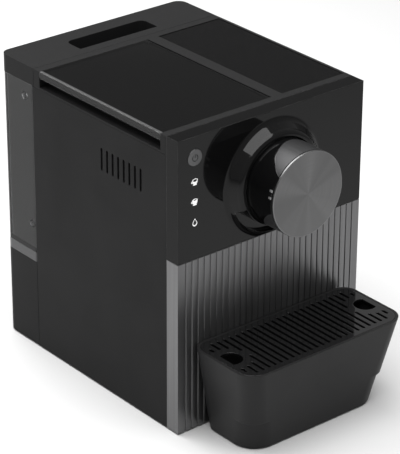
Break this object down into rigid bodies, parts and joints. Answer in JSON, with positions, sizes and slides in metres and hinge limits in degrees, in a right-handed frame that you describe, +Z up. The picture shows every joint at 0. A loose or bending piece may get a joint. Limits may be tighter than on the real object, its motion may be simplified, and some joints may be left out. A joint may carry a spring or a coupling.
{
  "type": "pod coffee machine",
  "caption": "Countertop pod coffee machine with a twist-and-pull capsule holder, round metal knob, clear rear water tank, smoked top lid, ribbed front and removable drip tray.",
  "frame": {"origin": "on the ground, at the centre of the machine's footprint with the drip tray in place", "axes": "+Z up, +Y towards the water tank at the back, -Y towards the user, +X to the user's right"},
  "size_m": [0.2, 0.321, 0.27],
  "materials": {
    "body_plastic": "fine-grained satin dark grey plastic",
    "frame_plastic": "satin dark grey plastic",
    "gloss_black": "polished black plastic",
    "ribbed_metal": "dark grey metallic, vertical grooves",
    "spun_steel": "spun and lacquered steel",
    "lobe_metal": "satin metallic",
    "button_metal": "satin metallic grey",
    "icon_white": "white lit mark",
    "smoked_clear": "smoked clear plastic",
    "tank_clear": "clear plastic",
    "tank_tint": "tinted grey plastic",
    "inner_plastic": "plain black inner moulding",
    "steel": "plain steel",
    "cast_alloy": "cast alloy",
    "rubber": "soft black rubber",
    "silicone": "pale silicone",
    "board_green": "lacquered circuit board"
  },
  "bodies": {
    "machine": {"base_plate": "inner_plastic", "base_ribs": "inner_plastic", "tray_tongue": "inner_plastic", "machine_feet": "rubber", "base_screws": "steel", "left_side_panel": "body_plastic", "right_side_panel": "body_plastic", "rear_lower_cover": "body_plastic", "rear_cover_screws": "steel", "cord_gland": "rubber", "rear_bulkhead": "body_plastic", "top_frame": "frame_plastic", "top_right_panel": "frame_plastic", "storage_tray": "inner_plastic", "front_fascia": "gloss_black", "ribbed_front_panel": "ribbed_metal", "small_cup_light": "icon_white", "large_cup_light": "icon_white", "drop_light": "icon_white", "power_switch": "inner_plastic", "control_board": "board_green", "brew_socket": "inner_plastic", "brew_screws": "steel", "brew_frame": "steel", "brew_head": "inner_plastic", "brew_gasket": "silicone", "brew_needles": "steel", "dock_coupling": "inner_plastic", "water_pump": "inner_plastic", "pump_mounts": "rubber", "thermoblock": "cast_alloy", "thermoblock_posts": "steel", "flow_meter": "inner_plastic", "inlet_hose": "silicone", "pump_hose": "silicone", "brew_hoses": "steel", "mains_board": "board_green"},
    "lid": {"storage_lid": "smoked_clear", "lid_hinge_pins": "steel"},
    "tank": {"tank_shell": "tank_clear", "tank_base": "tank_tint", "tank_valve_cage": "inner_plastic", "tank_seal": "silicone"},
    "tank_cap_body": {"tank_cap": "frame_plastic"},
    "valve": {"valve_poppet": "inner_plastic", "valve_spring": "steel"},
    "button": {"power_button": "button_metal", "button_spring": "steel"},
    "holder": {"holder_barrel": "inner_plastic", "holder_front": "inner_plastic", "capsule_basket": "steel", "holder_seal": "silicone", "spout": "inner_plastic", "knob_pivot_screw": "steel"},
    "knob": {"knob_sleeve": "gloss_black", "knob_body": "lobe_metal", "knob_disc": "spun_steel"},
    "tray": {"drip_tray": "body_plastic", "tray_feet": "rubber"},
    "grille": {"drip_grille": "gloss_black"}
  },
  "joints": [
    {"name": "lid_hinge", "type": "hinge", "parent": "machine", "child": "lid", "pos_m": [0.0144, 0.0205, 0.2685], "axis": [0, 1, 0], "range_deg": [0, 95]},
    {"name": "tank_lift", "type": "slide", "parent": "machine", "child": "tank", "axis": [0, 0, 1], "range_m": [0, 0.18]},
    {"name": "cap_lift", "type": "slide", "parent": "tank", "child": "tank_cap_body", "axis": [0, 0, 1], "range_m": [0, 0.06]},
    {"name": "valve_lift", "type": "slide", "parent": "tank", "child": "valve", "axis": [0, 0, 1], "range_m": [0, 0.003], "stiffness_N_per_m": 120, "springref_m": -0.002, "deforming": ["valve_spring"]},
    {"name": "power_press", "type": "slide", "parent": "machine", "child": "button", "axis": [0, 1, 0], "range_m": [0, 0.0015], "stiffness_N_per_m": 400, "springref_m": -0.0008, "deforming": ["button_spring"]},
    {"name": "holder_pull", "type": "slide", "parent": "machine", "child": "holder", "axis": [0, -1, 0], "range_m": [0, 0.075]},
    {"name": "knob_turn", "type": "hinge", "parent": "holder", "child": "knob", "pos_m": [0, -0.11, 0.211], "axis": [0, -1, 0], "range_deg": [0, 45]},
    {"name": "tray_pull", "type": "slide", "parent": "machine", "child": "tray", "axis": [0, -1, 0], "range_m": [0, 0.09]},
    {"name": "grille_lift", "type": "slide", "parent": "tray", "child": "grille", "axis": [0, 0, 1], "range_m": [0, 0.04]}
  ]
}
